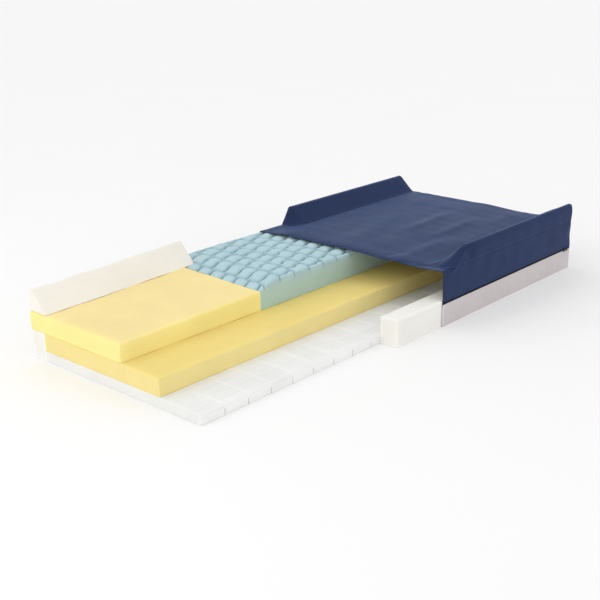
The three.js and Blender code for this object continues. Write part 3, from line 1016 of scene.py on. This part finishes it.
def cover_top(x, y):
    edge = round_drop(np.minimum(COVER_Y - np.abs(y), HEAD_X - x), 0.011)
    return panel_height(x, y) + pocket_height(x, y, 1) + pocket_height(x, y, -1) - edge


COVER_CELL = 0.0085


def cover_form():
    """The closed shape of the covered head half, before the cloth settles."""
    overhang = 0.034
    web = WEB_X + np.array([0.25, 0.5, 0.75, 1.0]) * WEB_LENGTH
    pocket = FAR_POCKET_X + np.array([0.0, 0.25, 0.5, 0.75, 1.0, 1.15]) * FAR_POCKET_LEAD
    xs = lines(CUT_X - overhang, HEAD_X, COVER_CELL, 0.012, [CUT_X, *web, *pocket])
    foot = COVER_Y - POCKET_W
    ys = lines(-COVER_Y, COVER_Y, COVER_CELL, 0.024, [foot, -foot, 0.018 - COVER_Y, COVER_Y - 0.018])
    spread = np.diff(xs) > 0.0015
    xs = np.concatenate([xs[:1], xs[1:][spread]])
    rows = np.linspace(0, 1, 24)[1:-1]
    form = slab("cover_form", xs, ys, cover_top, flat_skin(0.0), navy_cloth, rows=rows)
    round_head_corner(form, HEAD_X, COVER_Y, COVER_CORNER)
    return form


SETTLE_FRAMES = 14
SETTLE_LIMIT = 0.005
SETTLE_IN = 0.0008
CLOTH_SETTINGS = {
    "quality": 4,
    "mass": 0.35,
    "tension_stiffness": 22,
    "compression_stiffness": 22,
    "shear_stiffness": 8,
    "bending_stiffness": 0.9,
    "use_pressure": True,
    "uniform_pressure_force": 1.4,
    "shrink_min": -0.012,
    "vertex_group_mass": "held",
}


def settle(form):
    """Cloth simulation: the skin is a little too large, so it puckers as it fills.

    The zip line, the underside and the cut end are held. No point moves out by
    more than SETTLE_LIMIT, or in by more than SETTLE_IN, from where it started.
    """
    start = points_of(form)
    held = form.vertex_groups.new(name="held")
    near_zip = np.abs(start[:, 2] - ZIP_Z) < 0.022
    under = start[:, 2] < 0.012
    cut = start[:, 0] < CUT_X + 0.004
    for index in np.flatnonzero(near_zip | under | cut).tolist():
        held.add([index], 1.0, "REPLACE")
    cloth = form.modifiers.new("settle", "CLOTH")
    for name, value in CLOTH_SETTINGS.items():
        setattr(cloth.settings, name, value)
    cloth.settings.effector_weights.gravity = 0.0
    cloth.collision_settings.use_collision = False
    scene = bpy.context.scene
    for times in (scene, cloth.point_cache):
        times.frame_start = 1
        times.frame_end = SETTLE_FRAMES
    for step in range(1, SETTLE_FRAMES + 1):
        scene.frame_set(step)
    graph = bpy.context.evaluated_depsgraph_get()
    moved = points_of(form.evaluated_get(graph))
    form.modifiers.clear()
    scene.frame_set(1)
    normals = read_rows(form.data.vertices, "normal").astype(float)
    shift = moved - start
    outward = (shift * normals).sum(1)
    along = shift - outward[:, None] * normals
    on_panel = smooth((normals[:, 2] - 0.8) / 0.15) * smooth((0.33 - np.abs(start[:, 1])) / 0.05)
    limit = SETTLE_LIMIT * (0.35 + 0.65 * on_panel)
    outward = np.where(outward > 0, limit * np.tanh(outward / limit), np.maximum(outward, -SETTLE_IN))
    length = np.linalg.norm(along, axis=1, keepdims=True)
    along *= SETTLE_IN * np.tanh(length / SETTLE_IN) / np.maximum(length, 1e-9)
    move_points(form, start + outward[:, None] * normals + along)


def fold_ridge(x, y, start, end, width, height):
    """One soft fold on the panel: a bell-shaped ridge that fades at both ends."""
    start, end = np.array(start), np.array(end)
    line = end - start
    length = np.hypot(*line)
    line = line / length
    along = (x - start[0]) * line[0] + (y - start[1]) * line[1]
    beside = (x - start[0]) * -line[1] + (y - start[1]) * line[0]
    fade = smooth(along / length / 0.35) * smooth((1 - along / length) / 0.35)
    return height * fade * np.exp(-(beside / width) ** 2)


PANEL_FOLDS = (
    ((CUT_X + 0.26, -0.040), (CUT_X + 0.74, -0.008), 0.027, 0.0042),
    ((CUT_X + 0.26, -0.168), (CUT_X + 0.72, -0.140), 0.027, 0.0042),
    ((CUT_X - 0.08, -0.010), (CUT_X + 0.60, 0.165), 0.048, 0.0040),
    ((CUT_X - 0.12, -0.232), (CUT_X + 0.42, -0.222), 0.032, 0.0040),
    ((CUT_X + 0.50, 0.150), (CUT_X + 0.90, 0.230), 0.040, 0.0020),
    ((CUT_X + 0.62, -0.230), (CUT_X + 0.92, -0.200), 0.030, 0.0018),
)


def crease(form):
    """Adds the panel's long soft folds, and the set of the cloth on the sides.

    The near web leans in towards its crest, with one small fold below it.
    """
    points = points_of(form)
    x, y, z = points.T
    on_panel = smooth((z - PANEL_Z + 0.012) / 0.008) * smooth((0.35 - np.abs(y)) / 0.03)
    lift = sum(fold_ridge(x, y, *fold) for fold in PANEL_FOLDS)
    lift = lift + 0.0006 * wave_noise(5, 10, 0.16)(x, y)
    points[:, 2] += on_panel * lift
    on_side = smooth((np.abs(y) - COVER_Y + 0.012) / 0.008) * smooth((z - ZIP_Z - 0.01) / 0.03)
    sway = 0.0007 * wave_noise(8, 12, 0.15)(x, z * 1.6) - 0.0005
    crest = PANEL_Z + (POCKET_Z - PANEL_Z) * web_rise(x)
    on_web = smooth((x - WEB_X) / 0.04) * smooth((WEB_X + WEB_LENGTH + 0.05 - x) / 0.07) * (y < 0)
    lean = -0.011 * np.clip((z - 0.196) / 0.07, 0, 1) ** 1.3
    fold = 0.0034 * np.exp(-((z - crest + 0.017) / 0.0050) ** 2)
    top_seam = -0.0006 * np.exp(-((z - PANEL_Z - 0.004) / 0.004) ** 2) * smooth((x - 0.2) / 0.1)
    points[:, 1] += np.sign(y) * on_side * (sway + top_seam + on_web * (lean + fold))
    move_points(form, points)


def cut_away(form, name, planes, material):
    """A copy of the form with what lies beyond each plane (point, outward normal) cut off."""
    work = bmesh.new()
    work.from_mesh(form.data)
    for point, normal in planes:
        geometry = work.verts[:] + work.edges[:] + work.faces[:]
        bmesh.ops.bisect_plane(
            work, geom=geometry, dist=1e-6, plane_co=point, plane_no=normal, clear_outer=True,
        )
    return piece_from(work, name, material)


def thicken(piece):
    solid = piece.modifiers.new("skin", "SOLIDIFY")
    solid.thickness = SKIN
    solid.offset = -1
    solid.use_even_offset = True
    solid.use_quality_normals = True
    applied(piece)


SIDE_SEAM_Z = PANEL_Z + 0.0040

# Seam distances stop here, where no seam shows.
NO_SEAM = 0.02


def seam_distance(points):
    """The distance to the nearest seam: round the sides, and along each pocket's foot."""
    x, y, z = points.T
    on_side = np.abs(y) > COVER_Y - 0.02
    on_end = x > HEAD_X - 0.02
    round_side = np.where(on_side | on_end, z - SIDE_SEAM_Z, 1.0)
    on_top = (x > FOLD_X + 0.05) & (z > PANEL_Z - 0.01)
    foot = np.where(on_top, np.abs(y) - (COVER_Y - POCKET_W + 0.002), 1.0)
    nearest = np.where(np.abs(round_side) < np.abs(foot), round_side, foot)
    return np.clip(nearest, -NO_SEAM, NO_SEAM)


def build_covers():
    form = cover_form()
    settle(form)
    finer = form.modifiers.new("finer", "SUBSURF")
    finer.levels = 1
    finer.render_levels = 1
    applied(form)
    crease(form)
    foot_cut = ((CUT_X, 0, 0), (-1, 0, 0))
    upper_cut = ((0, 0, ZIP_UPPER_Z), (0, 0, -1))
    lower_cut = ((0, 0, ZIP_LOWER_Z), (0, 0, 1))
    top = cut_away(form, "top_cover", [foot_cut, upper_cut], navy_cloth)
    bottom = cut_away(form, "bottom_cover", [foot_cut, lower_cut], grey_cloth)
    bpy.data.objects.remove(form)
    outer = len(top.data.vertices)
    thicken(top)
    points = points_of(top)
    inner = np.arange(len(points)) >= outer
    set_attribute(top, "lining", inner * smooth((points[:, 0] - CUT_X - 0.004) / 0.004))
    # The cloth material paints shade into the groove along these seams.
    set_attribute(top, "seam", seam_distance(points))
    set_attribute(top, "trim", np.clip(ZIP_UPPER_Z + 0.0036 - points[:, 2], -0.02, 0.02))
    flatten_floor(bottom)
    flatten_hem(bottom)
    thicken(bottom)
    set_attribute(bottom, "seam", NO_SEAM)
    for piece, rise, rests_on in (
        (top, POCKET_Z - ZIP_UPPER_Z,
         ["torso_foam", "head_bolster_far_wedge", "head_bolster_near_wedge"]),
        (bottom, ZIP_LOWER_Z, ["base_foam"]),
    ):
        shade(piece.data, 50)
        finish_sheet(piece, piece.name, both_halves(piece.name), rests_on)


HEM_WIDTH = 0.013
HEM_THICKNESS = 0.0007


def flatten_floor(piece):
    """Lays the underside flat on the floor."""
    points = points_of(piece)
    points[:, 2] = np.where(points[:, 2] < 0.004, 0.0, points[:, 2])
    move_points(piece, points)


def flatten_hem(piece):
    """Lays the sides flat where the hem tape is sewn on, beside the cut."""
    points = points_of(piece)
    x, y, z = points.T
    beside = 1 - smooth((x - CUT_X - HEM_WIDTH - 0.002) / 0.012)
    flat = np.where(np.abs(y) > COVER_Y - 0.012, np.sign(y) * COVER_Y, y)
    rounded = z < 0.008
    points[:, 1] = np.where(rounded, y, y + beside * (flat - y))
    move_points(piece, points)


# ------------------------------------------------------------------ zip


def outline_path(inset, step=0.01):
    """Points and outward directions along the covers' side, near cut to far cut."""
    half = COVER_Y - inset
    head = HEAD_X - inset
    radius = COVER_CORNER - inset
    straight = np.arange(CUT_X, head - radius, step)
    across = np.linspace(-half + radius, half - radius, int(2 * half / step))[1:-1]
    turn = np.linspace(-math.pi / 2, 0, 10)
    corner_out = np.stack([np.cos(turn), np.sin(turn)], 1)
    corner = np.array([head - radius, radius - half]) + radius * corner_out
    near = np.stack([straight, np.full_like(straight, -half)], 1)
    near_out = np.tile([0.0, -1.0], (len(near), 1))
    end = np.stack([np.full_like(across, head), across], 1)
    end_out = np.tile([1.0, 0.0], (len(end), 1))
    mirror = np.array([1.0, -1.0])
    return [
        np.concatenate([side, bend, back, (bend * mirror)[::-1], (side * mirror)[::-1]])
        for side, bend, back in ((near, corner, end), (near_out, corner_out, end_out))
    ]


def strip_along(name, inset, thickness, z0, z1):
    """A flat strip along the covers' side, thickness deep and z0 to z1 high."""
    points, outward = outline_path(inset)
    inner = points - outward * thickness
    rows = np.linspace(z0, z1, 4)
    outer_side = [np.column_stack([points, np.full(len(points), z)]) for z in rows]
    inner_side = [np.column_stack([inner, np.full(len(points), z)]) for z in rows[::-1]]
    sections = np.stack(outer_side + inner_side, 1)
    return sweep(name, sections, zip_cloth)


def zip_nodes(name):
    """The CAD nodes of one part of the zip."""
    return [f"{name}_{part}" for part in ("seat_near", "seat_far", "back")]


def build_tapes():
    """Two tapes behind the covers' skins, one above the slot and one below it."""
    gap = 0.0003
    tape = 0.0008
    for name, cover in (("zip_tape_upper", "top_cover"), ("zip_tape_lower", "bottom_cover")):
        z0 = low(f"{name}_back").z
        z1 = high(f"{name}_back").z
        piece = strip_along(name, SKIN + gap, tape, z0, z1)
        set_attribute(piece, "seam", NO_SEAM)
        finish_sheet(piece, "zip_tape", zip_nodes(name), [cover])


COIL_PITCH = 0.0022


def build_coil():
    """The closed zip: hooked teeth from both tapes, a pitch apart, as one row.

    Each tooth is a short bar across the slot with a fatter head, pointing up and
    down by turns.
    """
    z0 = low("zip_coil_back").z
    z1 = high("zip_coil_back").z
    inset = COVER_Y - high("zip_coil_back").y
    depth = 0.0013
    points, outward = outline_path(inset)
    steps = np.linalg.norm(np.diff(points, axis=0), axis=1)
    walked = np.concatenate([[0], np.cumsum(steps)])
    at = np.arange(0.001, walked[-1], COIL_PITCH)
    place = np.stack([np.interp(at, walked, points[:, k]) for k in (0, 1)], 1)
    out = np.stack([np.interp(at, walked, outward[:, k]) for k in (0, 1)], 1)
    out /= np.linalg.norm(out, axis=1, keepdims=True)
    along = np.stack([-out[:, 1], out[:, 0]], 1)
    height = z1 - z0
    ring = np.array([[-0.42, -0.5], [-0.42, -1.0], [0.0, -1.15], [0.42, -1.0], [0.42, -0.5], [0.0, -0.35]])
    levels = np.array([0.02, 0.2, 0.62, 0.74, 0.92, 0.98])
    fat = np.array([0.7, 0.8, 0.8, 1.15, 1.15, 0.6])
    tooth = np.array([
        [side * size * COIL_PITCH, (0.5 + deep * size * 0.85) * depth, level]
        for level, size in zip(levels, fat) for side, deep in ring
    ])
    flip = np.arange(len(at)) % 2 == 0
    level = np.where(flip[:, None], tooth[:, 2], 1 - tooth[:, 2])
    xy = (
        place[:, None] + along[:, None] * tooth[None, :, :1]
        + out[:, None] * (tooth[None, :, 1:2] - 0.2 * depth)
    )
    z = z0 + height * level
    vertices = np.concatenate([xy, z[..., None]], -1)
    count = len(tooth)
    index = np.arange(count).reshape(len(levels), 6)
    foot, head = index[[0, -1]]
    caps = [foot[[0, 5, 4, 1]], foot[[1, 4, 3, 2]], head[[0, 1, 4, 5]], head[[1, 2, 3, 4]]]
    one = np.concatenate([tube_faces(index), np.array(caps)])
    shift = (np.arange(len(at)) * count)[:, None, None]
    faces = one[None] + shift
    faces[~flip] = faces[~flip][..., ::-1]
    piece = make_piece("zip_coil", vertices.reshape(-1, 3), faces.reshape(-1, 4), coil_plastic, 30)
    face_outwards(piece, 30)
    declare(piece, "zip_coil", zip_nodes("zip_coil"))


def coil_material():
    material, nodes, shader = start_material("zip coil nylon", Roughness=0.5, Specular_IOR_Level=0.12)
    handled = nodes.group(HANDLING, Color=hex_color("#0c0d11"), Amount=0.2, Scale=60.0)
    nodes.feed(handled.outputs["Color"], shader.inputs["Base Color"])
    return material


def metal_material():
    """Black enamel on zinc: rubbed paler where the surface is proud."""
    material, nodes, shader = start_material("zip slider enamel", Specular_IOR_Level=0.25)
    handled = nodes.group(HANDLING, Color=hex_color("#121418"), Amount=0.25, Scale=90.0)
    worn = nodes.range(nodes.attribute("edge"), 0.55, 0.95, 0.0, 0.12)
    rubbed = nodes.mix(worn, handled.outputs["Color"], hex_color("#8b8e93"))
    nodes.feed(rubbed, shader.inputs["Base Color"])
    nodes.feed(nodes.math("MULTIPLY", worn, 0.9), shader.inputs["Metallic"])
    rough = nodes.math("MULTIPLY_ADD", handled.outputs["Tone"], 0.08, 0.36)
    nodes.feed(rough, shader.inputs["Roughness"])
    return material


coil_plastic = coil_material()
enamel = metal_material()


# A face smaller than this, in square metres, belongs to a rounded edge.
EDGE_FACE = 2.5e-7


def rounded_copy(node, name, width):
    """A CAD part's shape with its edges rounded, and marked where they would wear."""
    work = bmesh.new()
    work.from_mesh(bpy.data.objects[node].data)
    bmesh.ops.remove_doubles(work, verts=work.verts, dist=1e-6)
    bmesh.ops.dissolve_limit(work, angle_limit=math.radians(1), verts=work.verts, edges=work.edges)
    bmesh.ops.recalc_face_normals(work, faces=work.faces)
    piece = piece_from(work, name, enamel)
    bevel = piece.modifiers.new("round", "BEVEL")
    bevel.width = width
    bevel.segments = 3
    bevel.limit_method = "ANGLE"
    bevel.angle_limit = math.radians(35)
    applied(piece)
    shade(piece.data, 40)
    edge = np.zeros(len(piece.data.vertices))
    for face in piece.data.polygons:
        if face.area < EDGE_FACE:
            edge[list(face.vertices)] = 1.0
    set_attribute(piece, "edge", edge)
    return piece


def build_slider():
    for node, name, body, width in (
        ("zip_slider", "zip_slider_body", "slider", 0.0005),
        ("zip_pull", "zip_pull_tab", "pull", 0.0004),
        ("zip_stop", "zip_end_stop", "backrest", 0.0003),
    ):
        declare(rounded_copy(node, name, width), "zip_metal", [node], body)


# ------------------------------------------------------------------ hem


def build_hem():
    """A pale tape that binds the bottom cover's cut edge, up both sides and below."""
    half = COVER_Y + HEM_THICKNESS
    rise = ZIP_LOWER_Z - 0.0005
    corner = 0.006
    turn = np.linspace(math.pi, 1.5 * math.pi, 6)
    near = np.stack([-half + corner + corner * np.cos(turn), corner + corner * np.sin(turn)], 1)
    up = np.stack([np.full(8, -half), np.linspace(rise, corner, 9)[:-1]], 1)
    under = np.stack([np.linspace(-half + corner, half - corner, 40)[1:-1], np.zeros(38)], 1)
    path = np.concatenate([up, near, under, (near * [-1, 1])[::-1], (up * [-1, 1])[::-1]])
    ahead = np.gradient(path, axis=0)
    ahead /= np.linalg.norm(ahead, axis=1, keepdims=True)
    inward = np.stack([-ahead[:, 1], ahead[:, 0]], 1)
    back = path + inward * HEM_THICKNESS
    xs = CUT_X - 0.0012 + np.linspace(0, HEM_WIDTH, 4)
    outer = [np.column_stack([np.full(len(path), x), path]) for x in xs]
    inner = [np.column_stack([np.full(len(path), x), back]) for x in xs[::-1]]
    piece = sweep("bottom_cover_hem", np.stack(outer + inner, 1), hem_cloth)
    points = points_of(piece)
    points[:, 2] = np.maximum(points[:, 2], 0.0)
    move_points(piece, points)
    # The cloth material paints shade into the groove along this stitch line.
    set_attribute(piece, "seam", points[:, 0] - (CUT_X + HEM_WIDTH - 0.003))
    finish_sheet(piece, "bottom_cover", [], ["bottom_cover"])


# ------------------------------------------------------------------ stage

CAMERA_AT = (-2.7547, -2.3261, 1.2823)
CAMERA_TURN_Z = -0.881
CAMERA_TURN_X = 1.235
CAMERA_ROLL_Y = 0.041
CAMERA_LENS = 61.8


def build_camera():
    data = bpy.data.cameras.new("camera")
    data.lens = CAMERA_LENS
    data.sensor_width = 36
    data.clip_end = 50
    camera = link_object("camera", data)
    turn = (
        Matrix.Rotation(CAMERA_TURN_Z, 4, "Z")
        @ Matrix.Rotation(CAMERA_TURN_X, 4, "X")
        @ Matrix.Rotation(CAMERA_ROLL_Y, 4, "Y")
    )
    camera.matrix_world = Matrix.Translation(CAMERA_AT) @ turn
    bpy.context.scene.camera = camera


def build_light(name, place, target, size, power):
    data = bpy.data.lights.new(name, "AREA")
    data.shape = "RECTANGLE"
    data.size, data.size_y = size
    data.energy = power
    lamp = link_object(name, data)
    lamp.location = place
    lamp.rotation_euler = (Vector(target) - Vector(place)).to_track_quat("-Z", "Y").to_euler()


def build_stage():
    scene = bpy.context.scene
    scene.view_settings.view_transform = "Standard"
    scene.view_settings.look = "None"
    world = bpy.data.worlds.new("studio")
    scene.world = world
    world.use_nodes = True
    sky = world.node_tree.nodes["Background"]
    sky.inputs["Color"].default_value = (1.0, 1.0, 1.0, 1)
    sky.inputs["Strength"].default_value = 1.0
    material, nodes, shader = start_material("studio floor", Roughness=0.9, Specular_IOR_Level=0.1)
    handled = nodes.group(HANDLING, Color=(0.93, 0.93, 0.93, 1), Amount=0.004, Scale=1.5)
    nodes.feed(handled.outputs["Color"], shader.inputs["Base Color"])
    reach = 30.0
    corners = [(-reach, -reach, 0), (reach, -reach, 0), (reach, reach, 0), (-reach, reach, 0)]
    floor = make_piece("studio_floor", np.array(corners) - [0, 0, 0.0005], [[0, 1, 2, 3]], material)
    build_light("key", (-4.0, 0.6, 2.2), (0, 0, 0.1), (2.4, 2.0), 20)


build_camera()
build_stage()
build_base_foam()
build_mid_foam()
build_heel_foam()
build_torso_foam()
build_wall("far_side_wall", FOOT_X, 1)
build_wall("near_side_wall", NEAR_WALL_X, -1)
build_foot_bolster()
build_head_bolster(1, "far")
build_head_bolster(-1, "near")
build_covers()
build_tapes()
build_coil()
build_slider()
build_hem()
